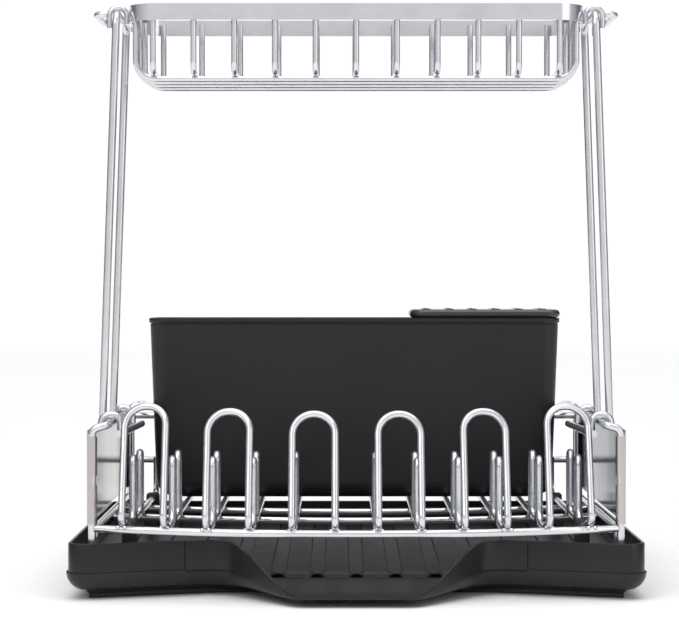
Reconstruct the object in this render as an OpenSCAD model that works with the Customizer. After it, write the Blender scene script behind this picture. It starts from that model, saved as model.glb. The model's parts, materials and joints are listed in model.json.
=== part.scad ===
// Two-tier dish drying rack, in millimetres, Z up.
// The origin is on the counter, under the middle of the whole rack, and -Y is the front with the spout.

/* [Drain tray] */
// Width of the drain tray, the widest piece of the rack
tray_w = 446; // [440:1:450]
// Depth of the tray body without its pouring spout
tray_d = 340; // [336:1:350]
// Height of the tray rim above the counter
tray_h = 43.5; // [42:0.5:45]
// Thickness of the moulded tray wall
tray_wall = 2.5; // [2:0.1:3]
// How far the spout lip reaches in front of the tray corners
spout_reach = 30; // [25:1:35]
// How far the front wall draws back from the corners to the spout
front_recess = 37; // [30:1:40]
// Width of the spout where it leaves the front wall
spout_root_w = 210; // [200:1:220]
// Width of the spout at its lip
spout_lip_w = 92; // [80:1:100]
// Height of the tray floor at its front edge
floor_front_z = 20; // [18:0.5:21]
// How much higher the tray floor is at the rear
floor_rise = 5; // [3:0.5:6]
// Distance between neighbouring channels in the tray floor
channel_pitch = 30; // [28:0.5:32]

/* [Lower rack] */
// Distance between the centre lines of the left and right posts
rack_w = 407; // [403:1:408]
// Distance between the centre lines of the front and rear posts
rack_d = 302; // [298:1:304]
// Diameter of the heavy frame wire
frame_wire_d = 6; // [5.6:0.1:6.2]
// Diameter of the wires that hold the plates
plate_wire_d = 5.6; // [5:0.1:5.8]
// Distance between neighbouring plate wires
plate_pitch = 32.6; // [32.4:0.1:33.2]
// Height of the top of a tall loop at the middle of the front
loop_top_z = 145; // [140:1:150]
// How far the tall loops lean back at their tops
loop_lean = 33; // [28:1:35]
// Height of the tops of the short tines
tine_top_z = 104.5; // [98:0.5:110]
// Distance between the two legs of one tine
tine_gap = 13; // [12.5:0.1:14]
// How far the front rail and the tine rows bow forward at the middle
rail_bow = 38; // [34:1:42]
// Height of the side rail that carries the uprights
side_rail_z = 133.4; // [130:0.1:136]
// Thickness of the steel side panels
panel_t = 0.8; // [0.6:0.1:1]

/* [Uprights] */
// Height of the top of the uprights, which the upper shelf hangs on
hook_bar_z = 453.7; // [440:0.1:455]
// Distance between the two legs of one upright
upright_d = 79; // [76:1:82]
// How far each upright leans inward from foot to top
upright_lean = 11.6; // [10:0.1:12]

/* [Upper shelf] */
// Depth of the upper shelf over its rim
shelf_d = 113; // [108:1:116]
// Height of the flat rim band
band_h = 12.7; // [10:0.1:13]
// Thickness of the flat rim band
band_t = 2; // [1.6:0.1:2.2]
// Outer corner radius of the rim band
band_r = 25; // [20:1:28]
// Diameter of the basket wires
basket_wire_d = 4.6; // [4:0.1:4.8]
// Distance between neighbouring basket wires
basket_pitch = 31.6; // [30:0.1:31.8]
// Depth of the basket below the top of its rim
basket_drop = 59.5; // [50:0.5:62]

/* [Utensil caddy] */
// Width of the caddy at its rim
caddy_w = 360; // [350:1:362]
// Depth of the caddy at its rim
caddy_d = 62; // [58:1:64]
// Height of the caddy itself
caddy_h = 158; // [150:1:162]
// How much the caddy narrows at each end toward its base
caddy_draft = 5.5; // [3:0.5:6]
// Thickness of the caddy wall
caddy_wall = 2.4; // [2:0.1:3]
// Width of the knife insert that closes the right end
insert_w = 131; // [126:1:133]
// Number of knife slots in the insert
knife_slots = 6; // [4:1:7]

/* [Hidden] */
PLATE_WIRES = 6;
BASKET_WIRES = 11;
RUNNER_WIRES = 4;
CORNERS = ["front_left", "front_right", "rear_left", "rear_right"];

$fn = 48;
clearance = 0.3;
touch = 0.05;
weld_bite = 0.02;

// Lengths along Y: the spout lip and the rear wall are equally far from the origin
tray_rear_y = (tray_d + spout_reach) / 2;
tray_front_y = tray_rear_y - tray_d;
lip_y = tray_front_y - spout_reach;
root_y = tray_front_y + front_recess;
post_front_y = tray_front_y + 25;
post_rear_y = post_front_y + rack_d;
rear_wire_y = post_rear_y - (frame_wire_d + plate_wire_d) / 2;

// Tray
tray_base_z = 7;
tray_edge_r = 12;
tray_corner_r = 16;
foot_inset = 17;
lip_z = 6;
lip_t = 3;
floor_step = 2.5;
slot_depth = 1.5;
rib_h = 1.5;
slot_y = tray_front_y + 15;
spout_run = norm([spout_root_w / 2 - spout_lip_w / 2, root_y - lip_y]);
spout_wall = tray_wall * spout_run / (root_y - lip_y);

// Lower rack
post_x = rack_w / 2;
rail_jog = 12.3;
jog_rise = 3.5;
side_rail_x = post_x - rail_jog;
front_rail_z = 53.5;
floor_rail_z = 45;
base_rail_z = floor_rail_z + frame_wire_d;
floor_z = floor_rail_z + (frame_wire_d + plate_wire_d) / 2;
foot_loop_d = 20;
relief_h = 7;
floor_rail_front_y = post_front_y + 168;
floor_rail_rear_y = post_front_y + 240;
tine_front_y = post_front_y + 88;
tine_rear_y = post_front_y + 146;
rear_mid_z = 82;
rear_top_z = 122;
bow_r = (post_x * post_x + rail_bow * rail_bow) / (2 * rail_bow);

// Uprights
upright_front_y = post_front_y + 30;
upright_rear_y = upright_front_y + upright_d;
saddle_z = side_rail_z + frame_wire_d + clearance;
saddle_out_x = side_rail_x + 7.6;
saddle_in_x = side_rail_x - 7.6;
saddle_bar_z = saddle_z - 15;
leg_end_z = side_rail_z - 3;
hook_bar_x = saddle_out_x - upright_lean;
crown_r = 9;

// Upper shelf, hung on the tops of the uprights
hook_wire_d = 4.2;
loop_wire_d = 5.4;
loop_out = 17;
hook_inset_y = 13;
hook_r = 6.85;
hook_center_z = hook_bar_z + (frame_wire_d + hook_wire_d) / 2 + clearance - hook_r;
shelf_x = hook_bar_x - hook_r - hook_wire_d / 2 + weld_bite;
shelf_front_y = upright_front_y - 15;
shelf_rear_y = shelf_front_y + shelf_d;
band_top_z = hook_bar_z + 5.5;
wire_inset = band_t + basket_wire_d / 2 - weld_bite;
shelf_mid_y = (shelf_front_y + shelf_rear_y) / 2;
basket_top_z = band_top_z - 4;
runner_z = band_top_z - basket_drop + basket_wire_d / 2;
runner_bend_r = 15.5;
runner_pitch = 26.5;

// Caddy, standing on the plate wires in front of the rear rails
caddy_base_z = floor_z + plate_wire_d / 2 + clearance;
caddy_top_z = caddy_base_z + caddy_h;
caddy_rear_y = rear_wire_y - plate_wire_d / 2 - 2;
caddy_front_y = caddy_rear_y - caddy_d;
caddy_front_draft = 5;
caddy_corner_r = 14;
caddy_base_r = 14;
caddy_floor_z = caddy_base_z + caddy_wall;
divider_left_x = -48;
divider_right_x = caddy_w / 2 - insert_w;
insert_depth = 34;
insert_cap_h = 8;

function unit(v) = v / norm(v);

// How far the bowed rails stand in front of their ends at a distance x from the middle
function bow(x) = sqrt(bow_r * bow_r - x * x) - (bow_r - rail_bow);

// Height of the tall loop at x: the outer loops, farther back on the bow, stand a little higher
function loop_height(x) = loop_top_z + 0.2 * (rail_bow - bow(x));

// Height of the sloping tray floor at y
function tray_floor_z(y) = floor_front_z + floor_rise * (y - slot_y) / (tray_rear_y - slot_y);

// Half the depth of the basket inside the rim band at x, less where the rim's corners round in
function basket_half_d(x) =
    let (past = max(0, abs(x) - (shelf_x - band_r)), r = band_r - wire_inset)
    shelf_d / 2 - band_r + sqrt(r * r - past * past);

// Half the width of the basket inside the rim band at y, less where the rim's corners round in
function basket_half_w(y) =
    let (past = max(0, abs(y - shelf_mid_y) - (shelf_d / 2 - band_r)), r = band_r - wire_inset)
    shelf_x - band_r + sqrt(r * r - past * past);

// Distance along Y of the centre line of a runner
function runner_y(i) = shelf_mid_y + (i - (RUNNER_WIRES + 1) / 2) * runner_pitch;

// Height of a basket wire that rests on the runners at x, where the runners curve up near their ends
function basket_wire_z(x) =
    let (bend_x = basket_half_w(runner_y(1)) - runner_bend_r)
    let (past = max(0, abs(x) - bend_x), r = runner_bend_r - basket_wire_d)
    runner_z + runner_bend_r - sqrt(r * r - past * past);

// ---- Bent wire ----

function corner_radius(r, i) = is_list(r) ? r[i] : r;

// Angle that a wire turns through at its corner i
function turn(p, i) =
    let (n = len(p), before = unit(p[i] - p[(i + n - 1) % n]), after = unit(p[(i + 1) % n] - p[i]))
    acos(min(1, max(-1, before * after)));

// Distance from corner i to where its bend begins
function setback(p, i, r) = corner_radius(r, i) * tan(turn(p, i) / 2);

// Turns +Z of the children to run from a toward b, starting at a
module along(a, b) {
    v = b - a;
    translate(a)
        rotate([0, acos(v.z / norm(v)), atan2(v.y, v.x)])
            children();
}

// Thin sleeve that closes the joint between a straight stretch and a bend
module joint_sleeve(at, direction, d) {
    half = 0.3;
    along(at - half * direction, at + half * direction)
        cylinder(h = 2 * half, d = d + 0.04);
}

module bend(p, i, d, r) {
    n = len(p);
    before = unit(p[i] - p[(i + n - 1) % n]);
    after = unit(p[(i + 1) % n] - p[i]);
    angle = turn(p, i);
    radius = corner_radius(r, i);
    start = p[i] - setback(p, i, r) * before;
    finish = p[i] + setback(p, i, r) * after;
    center = p[i] + radius / cos(angle / 2) * unit(after - before);
    x_axis = unit(start - center);
    z_axis = cross(x_axis, before);
    multmatrix([
        [x_axis.x, before.x, z_axis.x, center.x],
        [x_axis.y, before.y, z_axis.y, center.y],
        [x_axis.z, before.z, z_axis.z, center.z],
        [0, 0, 0, 1]
    ])
        rotate_extrude(angle = angle)
            translate([radius, 0])
                circle(d = d);
    joint_sleeve(start, before, d);
    joint_sleeve(finish, after, d);
}

module stretch(p, i, d, r, closed) {
    n = len(p);
    j = (i + 1) % n;
    gap = 0.1;
    cut_start = closed || i > 0 ? setback(p, i, r) + gap : 0;
    cut_end = closed || j < n - 1 ? setback(p, j, r) + gap : 0;
    length = norm(p[j] - p[i]) - cut_start - cut_end;
    if (length > gap)
        along(p[i] + cut_start * unit(p[j] - p[i]), p[j])
            cylinder(h = length, d = d);
}

// A wire of diameter d through the points p, bent at each corner with centre-line radius r
module wire(p, d, r, closed = false) {
    last = len(p) - (closed ? 1 : 2);
    for (i = [0:last])
        stretch(p, i, d, r, closed);
    for (i = [(closed ? 0 : 1):last])
        bend(p, i, d, r);
}

// A straight rod of diameter d from a to b
module rod(a, b, d) {
    along(a, b)
        cylinder(h = norm(b - a), d = d);
}

module rounded_rectangle(x1, y1, x2, y2, r) {
    translate([x1 + r, y1])
        square([x2 - x1 - 2 * r, y2 - y1]);
    translate([x1, y1 + r])
        square([x2 - x1, y2 - y1 - 2 * r]);
    for (x = [x1 + r, x2 - r], y = [y1 + r, y2 - r])
        translate([x, y])
            circle(r = r);
}

// ---- Drain tray ----

// Outline of the tray seen from above, drawn in by inset
module tray_outline(inset) {
    corner = max(tray_corner_r - inset, 4);
    offset(r = corner, $fn = 32)
        offset(delta = -inset - corner)
            polygon([
                [-tray_w / 2, tray_front_y],
                [-spout_root_w / 2, root_y],
                [spout_root_w / 2, root_y],
                [tray_w / 2, tray_front_y],
                [tray_w / 2, tray_rear_y],
                [-tray_w / 2, tray_rear_y]
            ]);
}

// Outline of the spout seen from above, drawn in by inset, between front_y and back_y
module spout_outline(inset, front_y, back_y) {
    root_half = spout_root_w / 2 - inset;
    lip_half = spout_lip_w / 2 - inset;
    front_half = lip_half + (root_half - lip_half) * (front_y - lip_y) / (root_y - lip_y);
    polygon([
        [-root_half, back_y],
        [-root_half, root_y],
        [-front_half, front_y],
        [front_half, front_y],
        [root_half, root_y],
        [root_half, back_y]
    ]);
}

// Everything above the tray floor raised by lift: a slope, a step at the slots, then the spout's fall
module above_tray_floor(lift) {
    rear_z = tray_floor_z(tray_rear_y + 1);
    rotate([90, 0, 90])
        translate([0, 0, -tray_w])
            linear_extrude(2 * tray_w)
                polygon([
                    [tray_rear_y + 1, rear_z + lift],
                    [slot_y, floor_front_z + lift],
                    [slot_y - 3, floor_front_z - floor_step + lift],
                    [lip_y + 8, lip_z + lip_t + lift],
                    [lip_y - 1, lip_z + lip_t + lift],
                    [lip_y - 1, 2 * tray_d],
                    [tray_rear_y + 1, 2 * tray_d]
                ]);
}

module tray_outside() {
    step = tray_edge_r / 3;
    linear_extrude(tray_base_z + touch)
        tray_outline(foot_inset);
    for (i = [0:2])
        translate([0, 0, tray_base_z + i * step])
            linear_extrude(step + touch)
                tray_outline(tray_edge_r * (1 - sin(acos(1 - (i + 0.5) / 3))));
    translate([0, 0, tray_base_z + tray_edge_r])
        linear_extrude(tray_h - tray_base_z - tray_edge_r)
            tray_outline(0);
    spout_outside();
}

// Funnel that falls and narrows from the front wall to the lip
module spout_outside() {
    hull() {
        translate([-spout_root_w / 2, root_y, tray_base_z])
            cube([spout_root_w, tray_wall, tray_h - tray_base_z]);
        translate([-spout_lip_w / 2, lip_y, lip_z])
            cube([spout_lip_w, 1, lip_t + 1]);
    }
}

module tray_inside() {
    intersection() {
        translate([0, 0, lip_z])
            union() {
                linear_extrude(tray_h)
                    tray_outline(tray_wall);
                linear_extrude(tray_h)
                    spout_outline(spout_wall, lip_y - 1, root_y + tray_wall + touch);
            }
        above_tray_floor(0);
    }
}

// The open underside, one wall thickness below the floor
module tray_underside() {
    difference() {
        translate([0, 0, -1])
            union() {
                linear_extrude(tray_h)
                    tray_outline(foot_inset + tray_wall);
                linear_extrude(tray_h)
                    spout_outline(spout_wall, lip_y + lip_t, root_y + foot_inset + 2 * tray_wall);
            }
        above_tray_floor(-tray_wall);
    }
}

// Raised flats between the channels that lead the water to the spout
module tray_ribs() {
    flats = floor(tray_w / channel_pitch / 2);
    intersection() {
        difference() {
            above_tray_floor(-touch);
            above_tray_floor(rib_h);
        }
        translate([0, 0, tray_base_z])
            linear_extrude(tray_h)
                tray_outline(tray_wall + 4);
        for (i = [-flats:flats - 1])
            translate([(i + 0.5) * channel_pitch - channel_pitch / 3, slot_y, 0])
                cube([channel_pitch * 2 / 3, tray_d, tray_h]);
    }
}

// One shallow oval slot where a channel meets the spout
module drain_slot(x) {
    half = 2.5;
    translate([x, slot_y + 3, floor_front_z - slot_depth]) {
        for (side = [-1, 1])
            translate([side * half, 0, 0])
                cylinder(h = 10, d = 4);
        translate([-half, -2, 0])
            cube([2 * half, 4, 10]);
    }
}

module drain_tray() {
    color([0.2, 0.19, 0.2]) {
        difference() {
            tray_outside();
            tray_inside();
            tray_underside();
            for (i = [-2:2])
                drain_slot(i * channel_pitch);
        }
        tray_ribs();
    }
}

// ---- Lower rack ----

// One closed wire: two posts, the jogged top rail, two foot loops and the base rail
module side_frame(side) {
    x = side * post_x;
    rail_x = side * side_rail_x;
    post_top_z = side_rail_z - jog_rise;
    foot_front_z = tray_floor_z(post_front_y) + rib_h + frame_wire_d / 2 + 2;
    foot_rear_z = tray_floor_z(post_rear_y) + rib_h + frame_wire_d / 2 + 2;
    color([0.75, 0.76, 0.78])
        wire([
            [x, post_front_y, foot_front_z],
            [x, post_front_y, post_top_z],
            [rail_x, post_front_y, side_rail_z],
            [rail_x, post_rear_y, side_rail_z],
            [x, post_rear_y, post_top_z],
            [x, post_rear_y, foot_rear_z],
            [x, post_rear_y - foot_loop_d, foot_rear_z],
            [x, post_rear_y - foot_loop_d, base_rail_z],
            [x, post_front_y + foot_loop_d, base_rail_z],
            [x, post_front_y + foot_loop_d, foot_front_z]
        ], frame_wire_d, [9, 5.9, 5.9, 5.9, 5.9, 9, 9, 6, 6, 9], closed = true);
}

// Sheet curled round one post, open on the inner side, with relief cuts at the given heights
module panel_curl(y, low_z, high_z, inward, relief_z) {
    bore = frame_wire_d + 0.3;
    curl_d = bore + 2 * panel_t;
    difference() {
        translate([post_x, y, low_z])
            cylinder(h = high_z - low_z, d = curl_d);
        translate([post_x, y, low_z - 1])
            cylinder(h = high_z - low_z + 2, d = bore);
        translate([post_x - curl_d, min(y, y + inward * curl_d), low_z - 1])
            cube([curl_d, curl_d, high_z - low_z + 2]);
        for (z = relief_z)
            translate([post_x - curl_d, y - curl_d, z - relief_h / 2])
                cube([curl_d - 1, 2 * curl_d, relief_h]);
    }
}

// Steel sheet outside the side frame, with its two upright edges curled round the posts
module side_panel(side) {
    low_z = base_rail_z + frame_wire_d / 2 + 3;
    high_z = side_rail_z - 9;
    sheet_x = post_x + frame_wire_d / 2 + 0.15;
    color([0.82, 0.83, 0.85])
        mirror([side < 0 ? 1 : 0, 0, 0]) {
            translate([sheet_x, post_front_y, low_z])
                cube([panel_t, rack_d, high_z - low_z + 5]);
            panel_curl(post_front_y, low_z, high_z, 1, [(low_z + high_z) / 2]);
            panel_curl(post_rear_y, low_z, high_z, -1, [rear_mid_z, rear_top_z]);
        }
}

// Bowed rail that runs from side to side, its ends at end_y
module bowed_rail(end_y, z, half_w) {
    half_angle = asin(half_w / bow_r);
    color([0.75, 0.76, 0.78])
        translate([0, end_y + bow_r - rail_bow, z])
            rotate([0, 0, -90 - half_angle])
                rotate_extrude(angle = 2 * half_angle)
                    translate([bow_r, 0])
                        circle(d = frame_wire_d);
}

module front_rail() {
    bowed_rail(post_front_y, front_rail_z, post_x - frame_wire_d / 2);
}

module floor_rail_front() {
    bowed_rail(floor_rail_front_y, floor_rail_z, post_x);
}

module floor_rail_rear() {
    bowed_rail(floor_rail_rear_y, floor_rail_z, post_x);
}

module rear_rail(z) {
    half = post_x - frame_wire_d / 2;
    color([0.75, 0.76, 0.78])
        rod([-half, post_rear_y, z], [half, post_rear_y, z], frame_wire_d);
}

module rear_mid_rail() {
    rear_rail(rear_mid_z);
}

module rear_top_rail() {
    rear_rail(rear_top_z);
}

// Corner points of one tine at x, from rear to front
function tine_points(x, y, top_z) = [
    [x, y + tine_gap / 2, floor_z],
    [x, y + tine_gap / 2, top_z],
    [x, y - tine_gap / 2, top_z],
    [x, y - tine_gap / 2, floor_z]
];

// Corner points of half a plate wire at x: rear end, floor, two tines, leg of the loop centred at loop_x
function plate_half(x, loop_x) = concat(
    [[x, rear_wire_y, rear_mid_z + frame_wire_d / 2], [x, rear_wire_y, floor_z]],
    tine_points(x, tine_rear_y - bow(x), tine_top_z - plate_wire_d / 2),
    tine_points(x, tine_front_y - bow(x), tine_top_z - plate_wire_d / 2),
    [
        [x, post_front_y - bow(x) + 40, floor_z],
        [x, post_front_y - bow(x) + 6, front_rail_z + (frame_wire_d + plate_wire_d) / 2],
        [x, post_front_y - bow(x) - 9, front_rail_z + (frame_wire_d + plate_wire_d) / 2],
        [x, post_front_y - bow(x) - 9 + loop_lean, loop_height(loop_x) - plate_wire_d / 2]
    ]
);

function reversed(list) = [for (i = [len(list) - 1:-1:0]) list[i]];

// One continuous wire: a floor wire with two tines on each side of a tall front loop
module plate_wire(i) {
    x = (i - (PLATE_WIRES + 1) / 2) * 2 * plate_pitch;
    tine_r = tine_gap / 2 - 0.3;
    half_radii = concat([0, 6], [8, tine_r, tine_r, 8], [8, tine_r, tine_r, 14], [20, 12, 6]);
    color([0.78, 0.79, 0.81])
        wire(
            concat(plate_half(x - plate_pitch / 2, x), reversed(plate_half(x + plate_pitch / 2, x))),
            plate_wire_d,
            concat(half_radii, [plate_pitch / 2 - 0.3, plate_pitch / 2 - 0.3], reversed(half_radii))
        );
}

// Plastic foot clipped on an outer plate wire, standing on the tray floor
module rack_foot(corner) {
    side = corner % 2 == 0 ? -1 : 1;
    x = side * (PLATE_WIRES - 0.5) * plate_pitch;
    y = corner < 2 ? post_front_y + 50 : post_rear_y - 40;
    base_z = tray_floor_z(y + 8) + rib_h + clearance;
    top_z = floor_z + plate_wire_d / 2 + 2;
    color([0.15, 0.15, 0.16])
        difference() {
            union() {
                translate([x - 6, y - 8, base_z + 4])
                    cube([12, 16, top_z - base_z - 4]);
                translate([x, y, base_z])
                    cylinder(h = 10, d = 15.5);
            }
            rod([x, y - 20, floor_z], [x, y + 20, floor_z], plate_wire_d + 0.1);
        }
}

// ---- Uprights ----

// One wire: up the front leg from outside the side rail, back along the top and down the rear leg
module upright(side) {
    color([0.74, 0.75, 0.77])
        wire([
            [side * saddle_out_x, upright_front_y, leg_end_z],
            [side * hook_bar_x, upright_front_y, hook_bar_z],
            [side * hook_bar_x, upright_rear_y, hook_bar_z],
            [side * saddle_out_x, upright_rear_y, leg_end_z]
        ], frame_wire_d, crown_r);
}

// Hook welded to one leg of an upright, over the side rail and down to the saddle bar
module saddle_hook(corner) {
    side = corner % 2 == 0 ? -1 : 1;
    beside_leg = frame_wire_d - weld_bite;
    y = corner < 2 ? upright_front_y - beside_leg : upright_rear_y + beside_leg;
    color([0.74, 0.75, 0.77])
        wire([
            [side * saddle_out_x, y, leg_end_z],
            [side * saddle_out_x, y, saddle_z],
            [side * saddle_in_x, y, saddle_z],
            [side * saddle_in_x, y, saddle_bar_z + frame_wire_d / 2 - weld_bite]
        ], frame_wire_d, (saddle_out_x - saddle_in_x) / 2 - 0.3);
}

// Bar under the inner ends of the saddle hooks, which runs inward toward the rear
module saddle_bar(side) {
    color([0.74, 0.75, 0.77])
        rod(
            [side * (saddle_in_x + 1.2), upright_front_y - 10, saddle_bar_z],
            [side * (saddle_in_x - 4.5), upright_rear_y + 40, saddle_bar_z],
            frame_wire_d
        );
}

// ---- Upper shelf ----

module shelf_rim() {
    color([0.77, 0.78, 0.81])
        translate([0, 0, band_top_z - band_h])
            linear_extrude(band_h)
                difference() {
                    rounded_rectangle(-shelf_x, shelf_front_y, shelf_x, shelf_rear_y, band_r);
                    rounded_rectangle(
                        -shelf_x + band_t, shelf_front_y + band_t,
                        shelf_x - band_t, shelf_rear_y - band_t, band_r - band_t
                    );
                }
}

// Wire from the front of the rim, under the basket and up to the rear of the rim
module basket_wire(i) {
    x = (i - (BASKET_WIRES + 1) / 2) * basket_pitch;
    half = basket_half_d(x);
    z = basket_wire_z(x);
    color([0.75, 0.76, 0.78])
        wire([
            [x, shelf_mid_y - half, basket_top_z],
            [x, shelf_mid_y - half, z],
            [x, shelf_mid_y + half, z],
            [x, shelf_mid_y + half, basket_top_z]
        ], basket_wire_d, 8);
}

// Long wire under the basket wires, its ends curving up to the ends of the rim
module basket_runner(i) {
    y = runner_y(i);
    half = basket_half_w(y);
    color([0.75, 0.76, 0.78])
        wire([
            [-half, y, basket_top_z],
            [-half, y, runner_z],
            [half, y, runner_z],
            [half, y, basket_top_z]
        ], basket_wire_d, runner_bend_r);
}

// Wire hook on the end of the rim, over the top of the upright
module shelf_hook(corner) {
    side = corner % 2 == 0 ? -1 : 1;
    y = corner < 2 ? upright_front_y + hook_inset_y : upright_rear_y - hook_inset_y;
    in_x = side * (hook_bar_x - hook_r);
    out_x = side * (hook_bar_x + hook_r);
    top_z = hook_center_z + hook_r;
    color([0.75, 0.76, 0.78])
        wire([
            [in_x, y, band_top_z - band_h],
            [in_x, y, top_z],
            [out_x, y, top_z],
            [out_x, y, top_z - 16]
        ], hook_wire_d, hook_r - 0.3);
}

// Loop outside the two hooks at one end of the shelf, to lift it by
module side_loop(side) {
    start_x = hook_bar_x + hook_r + hook_wire_d / 2;
    out_x = hook_bar_x + loop_out;
    front = upright_front_y + hook_inset_y;
    rear = upright_rear_y - hook_inset_y;
    color([0.75, 0.76, 0.78])
        wire([
            [side * start_x, front, hook_bar_z],
            [side * out_x, front, hook_bar_z],
            [side * out_x, rear, hook_bar_z],
            [side * start_x, rear, hook_bar_z]
        ], loop_wire_d, 6);
}

// ---- Utensil caddy ----

// Thin level slice of the caddy's outside shape at z, drawn in by inset and by under all round
module caddy_slice(inset, under, z) {
    side = inset + under + caddy_draft * (caddy_top_z - z) / caddy_h;
    front = inset + under + caddy_front_draft * (caddy_top_z - z) / caddy_h;
    translate([0, 0, z - touch])
        linear_extrude(touch)
            rounded_rectangle(
                side - caddy_w / 2, caddy_front_y + front,
                caddy_w / 2 - side, caddy_rear_y - inset - under, caddy_corner_r - inset
            );
}

// Tapered block between two heights, rounded under with radius base_r
module caddy_block(inset, low_z, high_z, base_r = 0) {
    hull($fn = 24) {
        for (angle = base_r > 0 ? [0:22.5:90] : [90:90])
            caddy_slice(inset, base_r * (1 - sin(angle)), low_z + base_r * (1 - cos(angle)));
        caddy_slice(inset, 0, high_z);
    }
}

// Short slots through the caddy base, which let the water out
module caddy_drains() {
    for (x = [-caddy_w / 2 + 30:15:caddy_w / 2 - 30])
        translate([x - 2, caddy_front_y + 18, caddy_base_z - 1])
            cube([4, caddy_d - 32, 6]);
}

module caddy_shell() {
    color([0.2, 0.19, 0.2])
        difference() {
            union() {
                caddy_block(0, caddy_base_z + touch, caddy_top_z, caddy_base_r);
                caddy_block(-1, caddy_top_z - 5, caddy_top_z);
            }
            caddy_block(caddy_wall, caddy_floor_z, caddy_top_z + 1, caddy_base_r - caddy_wall);
            caddy_drains();
        }
}

module caddy_divider(x) {
    color([0.22, 0.21, 0.22])
        intersection() {
            translate([x - 1, caddy_front_y - 5, caddy_floor_z + touch])
                cube([2, caddy_d + 10, caddy_h - 12]);
            caddy_block(caddy_wall + 0.1, caddy_floor_z, caddy_top_z, caddy_base_r - caddy_wall);
        }
}

module caddy_divider_left() {
    caddy_divider(divider_left_x);
}

module caddy_divider_right() {
    caddy_divider(divider_right_x - 2);
}

// Slotted cap over the right end of the caddy, with a sleeve that goes down inside it
module knife_insert() {
    x1 = divider_right_x;
    x2 = caddy_w / 2 + 1;
    sleeve_x1 = divider_right_x + clearance + 1;
    sleeve_inset = caddy_wall + 1;
    slot_pitch = (insert_w - 9) / knife_slots;
    cap_z = caddy_top_z + clearance;
    color([0.23, 0.22, 0.23])
        difference() {
            union() {
                translate([0, 0, cap_z])
                    linear_extrude(insert_cap_h)
                        rounded_rectangle(x1, caddy_front_y - 1, x2, caddy_rear_y + 1, 10);
                intersection() {
                    caddy_block(sleeve_inset, caddy_top_z - insert_depth, cap_z + 1);
                    translate([sleeve_x1, caddy_front_y - 5, 0])
                        cube([insert_w, caddy_d + 10, 500]);
                }
            }
            intersection() {
                caddy_block(sleeve_inset + 2, caddy_top_z - insert_depth - 1, cap_z + insert_cap_h - 2);
                translate([sleeve_x1 + 2, caddy_front_y - 5, 0])
                    cube([insert_w, caddy_d + 10, 500]);
            }
            for (i = [0:knife_slots - 1])
                translate([x1 + 3 + (i + 0.5) * slot_pitch, caddy_front_y + 10, cap_z])
                    cube([3, caddy_d - 20, insert_cap_h + 1]);
        }
}

drain_tray();
side_frame(-1);  // side_frame_left
side_frame(1);  // side_frame_right
side_panel(-1);  // side_panel_left
side_panel(1);  // side_panel_right
front_rail();
floor_rail_front();
floor_rail_rear();
rear_mid_rail();
rear_top_rail();
for (i = [1:PLATE_WIRES])
    plate_wire(i);
for (c = [0:3])
    rack_foot(c);
upright(-1);  // upright_left
upright(1);  // upright_right
saddle_bar(-1);  // saddle_bar_left
saddle_bar(1);  // saddle_bar_right
for (c = [0:3])
    saddle_hook(c);
shelf_rim();
for (i = [1:BASKET_WIRES])
    basket_wire(i);
for (i = [1:RUNNER_WIRES])
    basket_runner(i);
for (c = [0:3])
    shelf_hook(c);
side_loop(-1);  // side_loop_left
side_loop(1);  // side_loop_right
caddy_shell();
caddy_divider_left();
caddy_divider_right();
knife_insert();
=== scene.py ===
"""Looks of the two-tier dish drying rack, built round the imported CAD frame.

Metres, Z up, the front with the spout toward -Y. Sizes written in millimetres carry MM.
"""
import json
import math
import random

import bmesh
import bpy
from mathutils import Matrix, Vector


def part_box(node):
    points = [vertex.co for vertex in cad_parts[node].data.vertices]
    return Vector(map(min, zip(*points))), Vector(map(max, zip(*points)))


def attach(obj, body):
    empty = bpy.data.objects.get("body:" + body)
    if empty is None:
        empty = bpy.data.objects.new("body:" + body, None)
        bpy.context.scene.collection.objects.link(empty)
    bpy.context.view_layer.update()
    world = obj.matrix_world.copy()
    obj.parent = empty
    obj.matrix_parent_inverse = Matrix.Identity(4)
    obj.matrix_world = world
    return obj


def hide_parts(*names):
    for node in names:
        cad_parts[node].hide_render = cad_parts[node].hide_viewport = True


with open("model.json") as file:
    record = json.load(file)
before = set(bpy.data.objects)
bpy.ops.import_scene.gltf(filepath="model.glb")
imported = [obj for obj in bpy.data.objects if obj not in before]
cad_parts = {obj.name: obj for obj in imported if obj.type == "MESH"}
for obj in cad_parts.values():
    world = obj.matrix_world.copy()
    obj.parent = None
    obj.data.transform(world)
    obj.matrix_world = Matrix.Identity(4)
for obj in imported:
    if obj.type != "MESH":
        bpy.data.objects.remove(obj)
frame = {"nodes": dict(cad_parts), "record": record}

MM = 0.001
random.seed(11)
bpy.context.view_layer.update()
scene = bpy.context.scene


# ---------------------------------------------------------------- materials

def new_material(name, base, metallic, roughness):
    """A Principled material, with its node tree, shader and object-space coordinates."""
    material = bpy.data.materials.new(name)
    material.use_nodes = True
    tree = material.node_tree
    shader = tree.nodes["Principled BSDF"]
    shader.inputs["Base Color"].default_value = (*base, 1)
    shader.inputs["Metallic"].default_value = metallic
    shader.inputs["Roughness"].default_value = roughness
    coordinates = tree.nodes.new("ShaderNodeTexCoord").outputs["Object"]
    return material, tree, shader, coordinates


def stretched(tree, vector, scale):
    """The coordinates scaled by a different factor along each axis."""
    mapping = tree.nodes.new("ShaderNodeMapping")
    mapping.inputs["Scale"].default_value = scale
    tree.links.new(vector, mapping.inputs["Vector"])
    return mapping.outputs["Vector"]


def noise(tree, vector, scale, detail=3.0, roughness=0.55):
    node = tree.nodes.new("ShaderNodeTexNoise")
    node.inputs["Scale"].default_value = scale
    node.inputs["Detail"].default_value = detail
    node.inputs["Roughness"].default_value = roughness
    tree.links.new(vector, node.inputs["Vector"])
    return node.outputs["Fac"]


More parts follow.
